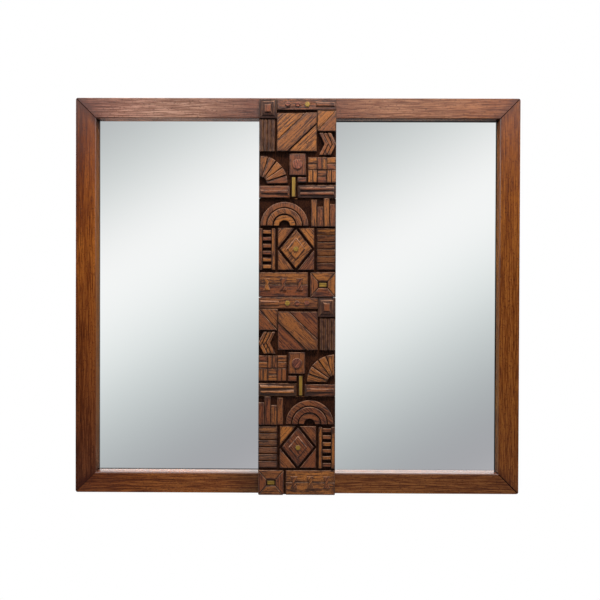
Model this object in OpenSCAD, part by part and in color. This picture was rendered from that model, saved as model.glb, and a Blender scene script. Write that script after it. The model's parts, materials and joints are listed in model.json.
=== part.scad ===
// Two-pane wall mirror: a mitred wood frame, two mirror panes and a built-up relief
// panel down the middle. The front faces -Y, the wall is the plane y = 0 and +Z is up.
// The origin is on the wall plane, midway between the hook points of the two hangers.

/* [Frame] */
// Overall width of the wood frame
frame_w = 1180; // [1000:10:1400]
// Overall height of the wood frame
frame_h = 1050; // [960:10:1300]
// Thickness of the frame, front face to back face
frame_t = 46; // [44:1:60]
// Width of each rail and stile, outer edge to sight edge
face_w = 54; // [50:1:80]
// Radius of the frame's outer corners, seen from the front
corner_r = 6; // [2:1:12]
// Chamfer along the sight edge
sight_chamfer = 2.5; // [1:0.5:4]
// Thickness of the front lip that the glass lies against
lip_t = 26; // [20:1:27]

/* [Glass and backing] */
// Thickness of each mirror pane
glass_t = 5; // [4:1:6]
// How far the glass rebate runs under the lip
glass_lap = 9; // [7:1:12]
// Space between a pane's edge and its rebate
pane_gap = 1.5; // [1:0.5:3]
// Thickness of the felt tape between lip and glass
tape_t = 0.8; // [0.6:0.1:1.5]
// Width of the felt tape
tape_w = 5; // [4:0.5:6]
// Thickness of each backing board
board_t = 3.2; // [2.5:0.1:4]
// How far the ledge for the backing board goes past the glass rebate
board_lap = 13; // [11:1:15]
// Space between a backing board's edge and its rebate
board_gap = 1; // [0.5:0.5:2]
// How far a backing board lies below the back of the frame
board_sink = 2.5; // [2:0.5:3.5]
// Length of a glass block, along the pane's edge
block_l = 40; // [25:5:60]
// Width of a glass block, across the pane's edge
block_w = 12; // [10:1:16]

/* [Centre] */
// Width of the centre stile, between the two sight openings
stile_w = 190; // [180:2:196]
// End play of the centre batten between the rails
batten_play = 0.3; // [0.1:0.1:1]
// Diameter of the joint dowels
dowel_d = 8; // [6:1:8]
// Length of a dowel across a mitred corner
corner_dowel_l = 28; // [20:1:28]
// Length of a dowel between the centre stile and a rail
stile_dowel_l = 40; // [30:2:50]

/* [Fixings] */
// Running clearance of dowels and screws in their holes
hole_play = 0.1; // [0.05:0.05:0.2]
// Shank diameter of the backing screws
board_screw_d = 3; // [2.5:0.5:3.5]
// Length of the backing screws under the head
board_screw_l = 14; // [10:1:16]
// Shank diameter of the countersunk wood screws
wood_screw_d = 4; // [3.5:0.5:5]
// How deep the batten screws bite into the centre stile
batten_bite = 12; // [8:0.5:16]
// How deep the tile screws bite into a ground board
tile_bite = 6; // [4:0.5:6.5]

/* [Hangers] */
// Height of the frame's top edge above the hook points
hang_drop = 250; // [180:10:320]
// Thickness of the wall bumpers
bumper_t = 6; // [6:0.5:10]
// Diameter of the wall bumpers
bumper_d = 20; // [14:1:24]
// Thickness of a hanger strap
strap_t = 1.2; // [0.8:0.1:1.4]
// Length of a hanger strap below its ring
strap_l = 62; // [54:1:80]
// Wire diameter of a hanger ring
ring_d = 3; // [2.5:0.1:3.2]
// Clear width inside a hanger ring
ring_w = 19; // [19:1:24]
// Length of the straight legs of a hanger ring
ring_leg = 6; // [4:1:8]
// Radial clearance of a ring in its strap
ring_play = 0.05; // [0.02:0.01:0.1]
// Side play of a strap's eye between the ring's bends
ring_side_play = 0.3; // [0.2:0.1:1]
// Shank diameter of the hanger screws
hanger_screw_d = 3.5; // [3:0.5:4]
// Length of the hanger screws under the head
hanger_screw_l = 18; // [12:1:24]

/* [Relief panel] */
// How far the relief panel goes past each edge of the centre stile
panel_overhang = 7; // [4:0.5:12]
// How far the relief panel stops short of the frame's top edge
panel_drop = 4; // [0:1:20]
// How far the relief panel hangs below the frame's bottom edge
panel_hang = 2.5; // [0:0.5:6]
// Thickness of a tile's ground board
ground_t = 8; // [7:0.5:12]
// Seam between neighbouring pieces of the relief
seam = 1.2; // [0.6:0.1:2]
// Height of the low pieces above the ground board
low_h = 6; // [4:0.5:7]
// Height of the middle pieces above the ground board
mid_h = 9; // [8:0.5:11]
// Height of the high pieces above the ground board
high_h = 13; // [12:0.5:16]
// Height of the strips, bosses and keys glued on other pieces
applied_h = 4; // [2:0.5:6]
// Diameter of the round bosses
boss_d = 27; // [16:1:30]
// Width across the corners of the six-sided studs
stud_d = 15; // [8:1:18]

/* [Hidden] */
$fn = 48;
half_w = frame_w / 2;
half_h = frame_h / 2;
half_stile = stile_w / 2;
sight_x = half_w - face_w;
sight_z = half_h - face_w;
opening_w = sight_x - half_stile;
opening_x = (sight_x + half_stile) / 2;

// Depths, from the back of the frame at 0 to its front at -frame_t
lip_y = lip_t - frame_t;
pane_y = lip_y + tape_t;
pane_back_y = pane_y + glass_t;
board_back_y = -board_sink;
board_y = board_back_y - board_t;

pane_lap = glass_lap - pane_gap;
ledge = glass_lap + board_lap;
land = face_w - ledge;
block_play = 0.3;
screw_inset = glass_lap + board_lap / 2;

pan_head_r = board_screw_d;
pan_head_h = board_screw_d * 0.5;
hanger_head_r = hanger_screw_d * 0.9;
hanger_head_h = hanger_screw_d * 0.4;
flat_head_r = wood_screw_d;
flat_head_h = wood_screw_d * 0.55;
board_screw_cols = 3;
board_screw_rows = 5;
batten_screw_rows = 5;
batten_screw_x = stile_w * 0.16;
batten_screw_l = frame_t - lip_t + batten_bite;
dowel_y = lip_t / 2 - frame_t;

ring_r = ring_d / 2;
ring_half = ring_w / 2 + ring_r;
ring_bend = ring_d * 0.9;
strap_w = 2 * (ring_half - ring_bend - ring_side_play);
loop_r = ring_r + ring_play + strap_t;
ring_reach = ring_leg + ring_half;
hook_z = half_h - hang_drop;
ring_z = hook_z - ring_reach + ring_r;
hanger_x = half_w - land / 2;
hanger_screws = 3;
hanger_first = ring_reach + ring_r + hanger_head_r + 1;
hanger_pitch = (strap_l - hanger_first) / hanger_screws;

tiles = 4;
tile_w = stile_w + 2 * panel_overhang;
tile_h = (frame_h - panel_drop + panel_hang) / tiles;
grid_cols = 24;
grid_rows = 30;
relief_z = -half_h - panel_hang;
ground_y = -frame_t - ground_t;

frame_colour = [0.43, 0.24, 0.14];
relief_colour = [0.36, 0.20, 0.11];
ground_colour = [0.16, 0.09, 0.06];
gilt_colour = [0.60, 0.46, 0.14];
steel_colour = [0.72, 0.72, 0.70];
raw_wood_colour = [0.74, 0.60, 0.42];

tile_parts = [
  ["ground", "boards", "brace", "stepped_block", "reeds", "chevrons", "fan", "weave"],
  ["ground", "boards", "arch", "planks", "ladder", "diamond", "louvre", "keys"]
];

// ---- Helpers ------------------------------------------------------------------

// Puts what is drawn about the frame's centre, with its back at y = 0, in the row frame
module placed() { translate([0, -bumper_t, -hook_z]) children(); }

// A block centred on x and z that runs from depth y0 to depth y1
module slab(w, h, y0, y1, x = 0, z = 0) {
  translate([x - w / 2, y0, z - h / 2]) cube([w, y1 - y0, h]);
}

// Raises a front-view outline from depth y towards the viewer
module raised(y, h) { translate([0, y, 0]) rotate([90, 0, 0]) linear_extrude(h) children(); }

// Points a shape's +Z forwards, into the wood, from a surface at (x, y, z)
module driven(x, y, z) { translate([x, y, z]) rotate([90, 0, 0]) children(); }

module mirrored_sides() {
  children();
  mirror([1, 0, 0]) children();
}

// Values spread evenly from -reach to reach
function spread(reach, count) = [for (i = [0:count - 1]) reach * (2 * i / (count - 1) - 1)];

// ---- Fasteners ----------------------------------------------------------------

module flat_screw(length, play = 0) {
  cylinder(r1 = flat_head_r + play, r2 = wood_screw_d / 2 + play, h = flat_head_h);
  translate([0, 0, flat_head_h])
    cylinder(d = wood_screw_d + 2 * play, h = length - flat_head_h + play);
}

module pan_screw(shank_d, length, head_r, head_h) {
  translate([0, 0, -head_h]) cylinder(r1 = head_r * 0.75, r2 = head_r, h = head_h);
  cylinder(d = shank_d, h = length);
}

module pilot(shank_d, length) {
  translate([0, 0, -1]) cylinder(d = shank_d + 2 * hole_play, h = length + hole_play + 1);
}

// ---- Frame --------------------------------------------------------------------

// Section of the moulding: x is measured from the outer edge, y from the front face
moulding_profile = [
  [0, 0], [face_w - sight_chamfer, 0], [face_w, sight_chamfer], [face_w, lip_t],
  [face_w - glass_lap, lip_t], [face_w - glass_lap, board_y + frame_t],
  [land, board_y + frame_t], [land, frame_t], [0, frame_t]
];

// One mitred length, lying along X as the upper member of a frame with that half height
module moulding(length, half) {
  intersection() {
    translate([-length / 2, -frame_t, half]) rotate([0, 90, 0])
      linear_extrude(length) polygon(moulding_profile);
    raised(0, frame_t) polygon([
      [-length / 2, half], [-length / 2 + face_w, half - face_w],
      [length / 2 - face_w, half - face_w], [length / 2, half]
    ]);
  }
}

module outline_prism() {
  x = half_w - corner_r;
  z = half_h - corner_r;
  raised(0, frame_t) {
    square([2 * half_w, 2 * z], center = true);
    square([2 * x, 2 * half_h], center = true);
    for (sx = [-x, x], sz = [-z, z]) translate([sx, sz]) circle(corner_r);
  }
}

// Two dowels across each mitre, square to the joint
module corner_dowel_set(play = 0) {
  for (sx = [-1, 1], sz = [-1, 1], inset = [0.36, 0.66] * face_w)
    translate([sx * (half_w - inset), dowel_y, sz * (half_h - inset)])
      rotate([0, sx * sz > 0 ? 135 : 45, 0])
        cylinder(d = dowel_d + 2 * play, h = corner_dowel_l + 4 * play, center = true);
}

// Three dowels at each end of the centre stile
module stile_dowel_set(play = 0) {
  for (x = spread(stile_w * 0.32, 3), z = [-sight_z, sight_z])
    translate([x, dowel_y, z])
      cylinder(d = dowel_d + 2 * play, h = stile_dowel_l + 4 * play, center = true);
}

function board_screw_points() =
  let (
    outer = sight_x + screw_inset,
    inner = half_stile - screw_inset,
    top = sight_z + screw_inset
  )
  concat(
    [for (x = [outer, inner], z = spread(sight_z * 0.86, board_screw_rows)) [x, z]],
    [for (x = spread(opening_w * 0.4, board_screw_cols), z = [-top, top]) [opening_x + x, z]]
  );

module board_screw_holes() {
  mirrored_sides() for (p = board_screw_points())
    driven(p[0], board_back_y, p[1]) pilot(board_screw_d, board_screw_l);
}

function batten_screw_points() = concat(
  [for (x = [-1, 1] * batten_screw_x, z = spread(sight_z * 0.8, batten_screw_rows)) [x, z]],
  [for (x = [-1, 1] * batten_screw_x, z = [-1, 1] * (sight_z + screw_inset)) [x, z]]
);

module batten_screw_set(play = 0) {
  for (p = batten_screw_points()) driven(p[0], 0, p[1]) flat_screw(batten_screw_l, play);
}

module hanger_screw_points() {
  mirrored_sides() for (i = [0:hanger_screws - 1])
    driven(hanger_x, 0, ring_z - hanger_first - i * hanger_pitch) children();
}

module frame_member(turn, length, half) {
  color(frame_colour) placed() difference() {
    intersection() {
      rotate([0, turn, 0]) moulding(length, half);
      outline_prism();
    }
    corner_dowel_set(hole_play);
    children();
  }
}

module rail(turn) {
  frame_member(turn, frame_w, half_h) {
    stile_dowel_set(hole_play);
    board_screw_holes();
    batten_screw_set(hole_play);
  }
}

module stile(turn) {
  frame_member(turn, frame_h, half_w) {
    board_screw_holes();
    hanger_screw_points() pilot(hanger_screw_d, hanger_screw_l - strap_t);
  }
}

module centre_stile() {
  color(frame_colour) placed() difference() {
    slab(stile_w, 2 * sight_z, -frame_t, lip_y);
    stile_dowel_set(hole_play);
    batten_screw_set(hole_play);
    tile_screw_set(hole_play);
  }
}

// Carries the inner edges of both backing boards and laps the rails behind their ledges
module centre_batten() {
  w = stile_w - 2 * glass_lap;
  h = 2 * (sight_z + glass_lap - batten_play);
  color(raw_wood_colour) placed() difference() {
    union() {
      slab(w, h, lip_y, board_y);
      slab(w - 2 * board_lap, h + 2 * board_lap, board_y, 0);
    }
    batten_screw_set(hole_play);
    board_screw_holes();
  }
}

module corner_dowels() { color(raw_wood_colour) placed() corner_dowel_set(); }

module stile_dowels() { color(raw_wood_colour) placed() stile_dowel_set(); }

module batten_screws() { color(steel_colour) placed() batten_screw_set(); }

// ---- Mirror panes and backing -------------------------------------------------

module mirror_pane(side) {
  color([0.80, 0.84, 0.85]) placed()
    slab(opening_w + 2 * pane_lap, 2 * (sight_z + pane_lap), pane_y, pane_back_y,
         side * opening_x);
}

module felt_tape(side) {
  inner = pane_lap - tape_w;
  color([0.13, 0.12, 0.11]) placed() difference() {
    slab(opening_w + 2 * pane_lap, 2 * (sight_z + pane_lap), lip_y, pane_y, side * opening_x);
    slab(opening_w + 2 * inner, 2 * (sight_z + inner), lip_y - 1, pane_y + 1,
         side * opening_x);
  }
}

// Small blocks glued in the rebate behind the glass, four on each long edge and two on each end
module glass_blocks(side) {
  x = opening_w / 2 + glass_lap - block_w / 2;
  z = sight_z + glass_lap - block_w / 2;
  color(raw_wood_colour) placed() translate([side * opening_x, 0, 0]) {
    for (sx = [-x, x], sz = spread(sight_z * 0.75, 4))
      slab(block_w, block_l, pane_back_y, board_y - block_play, sx, sz);
    for (sx = spread(opening_w * 0.25, 2), sz = [-z, z])
      slab(block_l, block_w, pane_back_y, board_y - block_play, sx, sz);
  }
}

module backing_board(side) {
  lap = ledge - board_gap;
  color([0.42, 0.29, 0.19]) placed() difference() {
    slab(opening_w + 2 * lap, 2 * (sight_z + lap), board_y, board_back_y, side * opening_x);
    board_screw_holes();
  }
}

module backing_screws() {
  color(steel_colour) placed() mirrored_sides() for (p = board_screw_points())
    driven(p[0], board_back_y, p[1])
      pan_screw(board_screw_d, board_screw_l, pan_head_r, pan_head_h);
}

// ---- Hangers and bumpers ------------------------------------------------------

module at_ring(side) { placed() translate([side * hanger_x, 0, ring_z]) children(); }

// A folded strap: a flat tongue with three screw holes and a rolled eye for the ring
module hanger_strap(side) {
  color(steel_colour) at_ring(side) difference() {
    union() {
      translate([-strap_w / 2, loop_r, 0]) rotate([0, 90, 0]) cylinder(r = loop_r, h = strap_w);
      raised(strap_t, strap_t) {
        translate([-strap_w / 2, strap_w / 2 - strap_l])
          square([strap_w, strap_l - strap_w / 2]);
        translate([0, strap_w / 2 - strap_l]) circle(d = strap_w);
      }
    }
    translate([-strap_w, loop_r, 0]) rotate([0, 90, 0])
      cylinder(r = ring_r + ring_play, h = 2 * strap_w);
    for (i = [0:hanger_screws - 1])
      driven(0, strap_t, -hanger_first - i * hanger_pitch) pilot(hanger_screw_d, 2 * strap_t);
  }
}

// A D-ring bent from round wire, hanging down: its straight bar turns in the strap's eye
module hanger_ring(side) {
  color(steel_colour) at_ring(side) translate([0, loop_r, 0]) rotate([90, 0, 0]) {
    bar = ring_half - ring_bend;
    translate([-bar, 0, 0]) rotate([0, 90, 0]) cylinder(r = ring_r, h = 2 * bar);
    mirrored_sides() {
      translate([bar, -ring_bend, 0]) rotate_extrude(angle = 90)
        translate([ring_bend, 0]) circle(ring_r);
      translate([ring_half, -ring_bend, 0]) rotate([90, 0, 0])
        cylinder(r = ring_r, h = ring_leg - ring_bend);
    }
    translate([0, -ring_leg, 0]) rotate([0, 0, 180]) rotate_extrude(angle = 180)
      translate([ring_half, 0]) circle(ring_r);
  }
}

module hanger_screws() {
  color(steel_colour) placed() translate([0, strap_t, 0]) hanger_screw_points()
    pan_screw(hanger_screw_d, hanger_screw_l, hanger_head_r, hanger_head_h);
}

module wall_bumpers() {
  x = half_w - land / 2;
  z = half_h - land / 2;
  rim = bumper_t * 0.2;
  color([0.10, 0.10, 0.10]) placed() for (sx = [-x, x], sz = [-z, z])
    driven(sx, bumper_t, sz) {
      cylinder(d1 = bumper_d - 2 * rim, d2 = bumper_d, h = rim);
      translate([0, 0, rim]) cylinder(d = bumper_d, h = bumper_t - rim);
    }
}

// ---- Relief panel -------------------------------------------------------------

// Tile 1 is the top one. Tiles 3 and 4 are tiles 1 and 2 turned left to right.
function tile_z(i) = relief_z + (tiles - i) * tile_h;

// Draws on tile i: x runs across it, y up it and z out of its ground board
module on_tile(i) {
  placed() translate([0, ground_y, tile_z(i)]) mirror([i > 2 ? 1 : 0, 0, 0])
    translate([-tile_w / 2, 0, 0]) rotate([90, 0, 0]) children();
}

// A layout point, given in columns and rows of the tile, in millimetres
function at(p) = [p[0] * tile_w / grid_cols, p[1] * tile_h / grid_rows];

function edge_normal(a, b) = let (d = b - a) [d[1], -d[0]] / norm(d);

// Moves every edge of an anticlockwise outline inwards by d
function shrunk(outline, d) =
  let (n = len(outline))
  [for (i = [0:n - 1])
    let (
      before = edge_normal(outline[(i + n - 1) % n], outline[i]),
      after = edge_normal(outline[i], outline[(i + 1) % n])
    )
    outline[i] - d * (before + after) / (1 + before * after)];

function cell(x0, y0, x1, y1) = [[x0, y0], [x1, y0], [x1, y1], [x0, y1]];

// A flat piece with half a seam left free all round its outline
module piece(outline, h, base = 0) {
  translate([0, 0, base]) linear_extrude(h)
    polygon(shrunk([for (p = outline) at(p)], seam / 2));
}

module pieces(list) { for (p = list) piece(p[0], p[1]); }

module ground(i) {
  color(ground_colour) placed() difference() {
    slab(tile_w, tile_h - seam, ground_y, -frame_t, 0, tile_z(i) + tile_h / 2);
    tile_screw_set(hole_play);
  }
}

function tile_screw_points() =
  [for (i = [1:tiles], x = [-1, 1] * stile_w * 0.35, rise = [0.35, 0.7])
    [x, tile_z(i) + rise * tile_h]];

// Driven from the back of the centre stile into the ground boards
module tile_screw_set(play = 0) {
  for (p = tile_screw_points())
    driven(p[0], lip_y, p[1]) flat_screw(lip_t + tile_bite, play);
}

module tile_screws() { color(steel_colour) placed() tile_screw_set(); }

// Odd tiles
header = cell(5.5, 26.5, 24, 30);
boss_board = cell(9.4, 6.8, 14.6, 13.4);
foot_board = cell(0, 0, 9.6, 3.7);
skirt_board = cell(12, 0, 24, 4);
odd_boards = [
  [header, low_h],
  [[[18, 20], [24, 20], [24, 26.5]], high_h],
  [[[18, 20], [24, 26.5], [18, 26.5]], low_h],
  [[[5.5, 17.2], [14.6, 25.7], [5.5, 25.7]], low_h],
  [[[8.9, 14], [18, 14], [18, 22.5]], mid_h],
  [boss_board, mid_h],
  [foot_board, mid_h],
  [skirt_board, low_h],
  [cell(12, 4.6, 14.8, 6.3), high_h]
];
brace_beam = [[5.5, 14], [8.9, 14], [18, 22.5], [18, 25.7], [14.6, 25.7], [5.5, 17.2]];

// Even tiles
diamond_centre = [11.6, 14.6];
key_centres = [[2.6, 3.9], [7.7, 3.9], [12.8, 3.9]];
even_boards = [
  [cell(0, 0, 15.4, 3.9), low_h],
  [cell(0, 3.9, 15.4, 7.6), low_h],
  [[[5.9, 8.2], [11.1, 8.2], [5.9, 14.44]], low_h],
  [[[12.1, 8.2], [17.3, 8.2], [17.3, 14.44]], mid_h],
  [[[17.3, 14.76], [17.3, 21], [12.1, 21]], low_h],
  [[[5.9, 14.76], [11.1, 21], [5.9, 21]], mid_h],
  [[[16, 0], [24, 0], [21.4, 2.9], [18.6, 2.9]], mid_h],
  [[[24, 0], [24, 7.6], [21.4, 4.7], [21.4, 2.9]], mid_h],
  [[[24, 7.6], [16, 7.6], [18.6, 4.7], [21.4, 4.7]], mid_h],
  [[[16, 7.6], [16, 0], [18.6, 2.9], [18.6, 4.7]], mid_h]
];

module boards(i) {
  color(relief_colour) on_tile(i) {
    if (i % 2 == 1) {
      pieces(odd_boards);
      piece(cell(0.6, 1.3, 9, 2.4), applied_h, mid_h);
      for (y = [0.9, 2.4]) piece(cell(12.8, y, 23.4, y + 0.8), applied_h, low_h);
      piece(cell(17.6, 27.6, 23.4, 28.9), applied_h, low_h);
    } else {
      pieces(even_boards);
    }
  }
}

module brace(i) { color(relief_colour) on_tile(i) piece(brace_beam, high_h); }

// Three steps
module stepped_block(i) {
  steps = [low_h, (low_h + high_h) / 2, high_h];
  color(relief_colour) on_tile(i) for (k = [0:2]) {
    inset = 0.9 * k;
    piece(cell(inset, 24 + inset, 5.5 - inset, 30 - inset), steps[k]);
  }
}

// Upright half-round reeds worked on one block
module reeds(i) {
  count = 4;
  left = at([0, 14])[0] + seam / 2;
  foot = at([0, 14])[1] + seam / 2;
  size = at([5, 9.6]) - [seam, seam];
  pitch = size[0] / count;
  color(relief_colour) on_tile(i) translate([left, foot, 0]) {
    cube([size[0], size[1], low_h]);
    intersection() {
      cube([size[0], size[1], low_h + pitch]);
      for (k = [0:count - 1])
        translate([pitch * (k + 0.5), 0, low_h]) rotate([-90, 0, 0])
          cylinder(r = pitch * 0.46, h = size[1]);
    }
  }
}

// Nested bent strips
module chevrons(i) {
  count = 3;
  x0 = 18.6;
  y0 = 12.9;
  y1 = 19.6;
  bend = 1.7;
  pitch = 1.25;
  color(relief_colour) on_tile(i) for (k = [0:count - 1]) {
    x = x0 + pitch * k;
    ym = (y0 + y1) / 2;
    piece([[x, y0], [x + pitch, y0], [x + pitch + bend, ym], [x + pitch, y1], [x, y1],
           [x + bend, ym]], k % 2 == 0 ? high_h : mid_h);
  }
}

// Blades that open from one corner
module fan(i) {
  blades = 5;
  inner = at([2.2, 0])[0];
  outer = at([8.6, 0])[0];
  gap = 2;
  color(relief_colour) on_tile(i) translate(at([0.3, 4.3])) for (k = [0:blades - 1])
    rotate([0, 0, 90 * k / blades + gap / 2]) rotate_extrude(angle = 90 / blades - gap)
      translate([inner, 0]) square([outer - inner, k % 2 == 0 ? mid_h : high_h]);
}

// Pairs of slats laid by turns upright and level
module weave(i) {
  origin = [15.2, 4.6];
  span = [8.8, 7.8];
  cols = 3;
  rows = 2;
  dx = span[0] / cols;
  dy = span[1] / rows;
  color(relief_colour) on_tile(i) for (c = [0:cols - 1], r = [0:rows - 1], half = [0, 1]) {
    x = origin[0] + c * dx;
    y = origin[1] + r * dy;
    if ((c + r) % 2 == 0)
      piece(cell(x + half * dx / 2, y, x + (half + 1) * dx / 2, y + dy), mid_h);
    else
      piece(cell(x, y + half * dy / 2, x + dx, y + (half + 1) * dy / 2), low_h);
  }
}

// Concentric half rings
module arch(i) {
  rings = [[7.4, 5.7, mid_h], [5.4, 3.7, high_h], [3.4, 1.7, mid_h]];
  color(relief_colour) on_tile(i) translate(at([8, 21.6])) for (r = rings)
    rotate_extrude(angle = 180) translate([at([r[1], 0])[0], 0])
      square([at([r[0] - r[1], 0])[0], r[2]]);
}

// Upright planks with staggered tops
module planks(i) {
  tops = [29.6, 27.4, 30, 28.2];
  levels = [low_h, high_h, mid_h, high_h];
  pitch = 1.95;
  color(relief_colour) on_tile(i) for (k = [0:3])
    piece(cell(16.2 + pitch * k, 21.3, 16.2 + pitch * (k + 1), tops[k]), levels[k]);
}

// Two uprights with rungs between them
module ladder(i) {
  x0 = 0;
  x1 = 5.2;
  y0 = 8.2;
  y1 = 20.8;
  rail_w = 1.2;
  rungs = 6;
  pitch = (y1 - y0) / rungs;
  color(relief_colour) on_tile(i) {
    piece(cell(x0, y0, x0 + rail_w, y1), high_h);
    piece(cell(x1 - rail_w, y0, x1, y1), high_h);
    for (k = [0:rungs - 1])
      piece(cell(x0 + rail_w, y0 + pitch * (k + 0.2), x1 - rail_w, y0 + pitch * (k + 0.8)),
            mid_h);
  }
}

// A lozenge with a second, smaller one standing on it
module diamond(i) {
  c = diamond_centre;
  function lozenge(w, h) = [c - [0, h], c + [w, 0], c + [0, h], c - [w, 0]];
  color(relief_colour) on_tile(i) {
    piece(lozenge(5, 6), mid_h);
    piece(lozenge(2.9, 3.48), high_h);
  }
}

// Level slats, each thicker along its upper edge
module louvre(i) {
  corner = at([18, 8.2]);
  size = at([6, 12.8]) - [seam, seam];
  count = 6;
  pitch = size[1] / count;
  slat = pitch - seam;
  color(relief_colour) on_tile(i) for (k = [0:count - 1])
    translate([corner[0] + seam / 2, corner[1] + seam / 2 + pitch * k, 0])
      rotate([90, 0, 90]) linear_extrude(size[0])
        polygon([[0, 0], [slat, 0], [slat, mid_h], [0, low_h / 2]]);
}

// Double-dovetail keys laid across the joint of two boards
module keys(i) {
  color(relief_colour) on_tile(i) for (c = key_centres)
    piece([c + [-1.2, -1.9], c + [1.2, -1.9], c + [0.45, 0], c + [1.2, 1.9], c + [-1.2, 1.9],
           c + [-0.45, 0]], applied_h, low_h);
}

module boss(i, p, base, d, sides = $fn) {
  on_tile(i) translate(concat(at(p), base)) cylinder(d = d, h = applied_h, $fn = sides);
}

module relief_bosses() {
  color([0.34, 0.12, 0.07]) for (i = [1, 3]) {
    boss(i, [12, 10.1], mid_h, boss_d);
    for (x = [9, 12]) boss(i, [x, 28.25], low_h, stud_d, 6);
  }
}

module gilt_pieces() {
  color(gilt_colour) {
    for (i = [1, 3]) {
      boss(i, [15, 28.25], low_h, stud_d, 6);
      on_tile(i) piece(cell(10.2, 0.3, 11.4, 6.3), high_h);
    }
    for (i = [2, 4]) {
      boss(i, diamond_centre, high_h, stud_d, 6);
      on_tile(i) piece(cell(18.8, 3.1, 21.2, 4.5), low_h);
    }
  }
}

// ---- Nodes --------------------------------------------------------------------

rail(0);  // top_rail
rail(180);  // bottom_rail
stile(-90);  // left_stile
stile(90);  // right_stile
centre_stile();
centre_batten();
corner_dowels();
stile_dowels();
batten_screws();
tile_screws();
mirror_pane(-1);  // left_mirror_pane
mirror_pane(1);  // right_mirror_pane
felt_tape(-1);  // left_felt_tape
felt_tape(1);  // right_felt_tape
glass_blocks(-1);  // left_glass_blocks
glass_blocks(1);  // right_glass_blocks
backing_board(-1);  // left_backing_board
backing_board(1);  // right_backing_board
backing_screws();
hanger_strap(-1);  // left_hanger_strap
hanger_strap(1);  // right_hanger_strap
hanger_ring(-1);  // left_hanger_ring
hanger_ring(1);  // right_hanger_ring
hanger_screws();
wall_bumpers();
relief_bosses();
gilt_pieces();
for (i = [1:tiles]) {
  ground(i);
  boards(i);
}
for (i = [1, 3]) {
  brace(i);
  stepped_block(i);
  reeds(i);
  chevrons(i);
  fan(i);
  weave(i);
}
for (i = [2, 4]) {
  arch(i);
  planks(i);
  ladder(i);
  diamond(i);
  louvre(i);
  keys(i);
}
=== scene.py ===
import json
import math
import bmesh
import bpy
import numpy as np
from mathutils import Matrix, Vector

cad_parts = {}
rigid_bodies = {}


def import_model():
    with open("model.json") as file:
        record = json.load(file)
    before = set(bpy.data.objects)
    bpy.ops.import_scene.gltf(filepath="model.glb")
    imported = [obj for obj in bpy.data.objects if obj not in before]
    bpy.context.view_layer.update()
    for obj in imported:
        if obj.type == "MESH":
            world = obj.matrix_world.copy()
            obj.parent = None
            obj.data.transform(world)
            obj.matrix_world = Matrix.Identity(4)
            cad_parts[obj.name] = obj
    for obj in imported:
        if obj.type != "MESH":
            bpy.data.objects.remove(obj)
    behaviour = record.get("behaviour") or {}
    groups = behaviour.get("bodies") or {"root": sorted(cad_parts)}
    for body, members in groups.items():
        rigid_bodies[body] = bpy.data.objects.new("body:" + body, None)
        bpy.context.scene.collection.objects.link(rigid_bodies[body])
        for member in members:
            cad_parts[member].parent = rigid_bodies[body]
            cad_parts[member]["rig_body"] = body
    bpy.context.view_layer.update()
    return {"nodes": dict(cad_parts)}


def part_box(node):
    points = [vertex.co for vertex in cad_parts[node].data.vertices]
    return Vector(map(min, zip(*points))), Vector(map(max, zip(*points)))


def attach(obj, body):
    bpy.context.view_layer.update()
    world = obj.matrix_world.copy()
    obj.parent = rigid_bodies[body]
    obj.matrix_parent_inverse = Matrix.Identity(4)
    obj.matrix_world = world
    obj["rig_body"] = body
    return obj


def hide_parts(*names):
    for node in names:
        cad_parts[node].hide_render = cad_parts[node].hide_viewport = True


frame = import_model()

mm = 0.001
dice = np.random.default_rng(27)


# Where the CAD says things are

boardPlay = 1 * mm  # between a backing board and the ledge it lies on
railLow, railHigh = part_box("top_rail")
faceWidth = railHigh.z - railLow.z
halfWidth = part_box("right_stile")[1].x
halfHeight = (railHigh.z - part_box("bottom_rail")[0].z) / 2
halfSizes = np.array([halfWidth, 0, halfHeight])
middle = np.array([0, 0, railHigh.z - halfHeight])
frontY, backY = railLow.y, railHigh.y
frameDepth = backY - frontY
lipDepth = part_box("left_felt_tape")[0].y - frontY
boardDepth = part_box("left_backing_board")[0].y - frontY
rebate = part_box("left_glass_blocks")[0].x + halfWidth  # from the outer edge to the glass rebate
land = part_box("left_backing_board")[0].x + halfWidth - boardPlay  # and to the ledge


# Shader nodes

def rgb(red, green, blue):
    # an sRGB colour of 0 to 255, as the linear colour that a socket takes
    part = np.array([red, green, blue]) / 255
    linear = np.where(part <= 0.04045, part / 12.92, ((part + 0.055) / 1.055) ** 2.4)
    return (*linear.tolist(), 1)


class Field:
    # A node's output. Reckoning with it adds Math nodes to its tree.

    def __init__(self, socket):
        self.socket, self.tree = socket, socket.id_data

    def __add__(self, other):
        return calc("ADD", self, other)

    def __sub__(self, other):
        return calc("SUBTRACT", self, other)

    def __rsub__(self, other):
        return calc("SUBTRACT", other, self)

    def __mul__(self, other):
        return calc("MULTIPLY", self, other)

    def __truediv__(self, other):
        return calc("DIVIDE", self, other)

    def __pow__(self, other):
        return calc("POWER", self, other)

    def __abs__(self):
        return calc("ABSOLUTE", self)


def add(tree, kind, inputs=None, **settings):
    # a shader node with its inputs, each a plain value or a Field to link, and its settings
    made = tree.nodes.new("ShaderNode" + kind)
    for key, value in settings.items():
        setattr(made, key, value)
    for key, value in (inputs or {}).items():
        if isinstance(value, Field):
            tree.links.new(value.socket, made.inputs[key])
        else:
            made.inputs[key].default_value = value
    return made


def field(tree, kind, inputs=None, output=0, **settings):
    return Field(add(tree, kind, inputs, **settings).outputs[output])


def fields(node):
    return {socket.name: Field(socket) for socket in node.outputs}


def treeOf(values):
    return next(value.tree for value in values if isinstance(value, Field))


def calc(operation, *values):
    return field(treeOf(values), "Math", dict(enumerate(values)), operation=operation)


def split(vector):
    return [Field(socket) for socket in add(vector.tree, "SeparateXYZ", {0: vector}).outputs]


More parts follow.
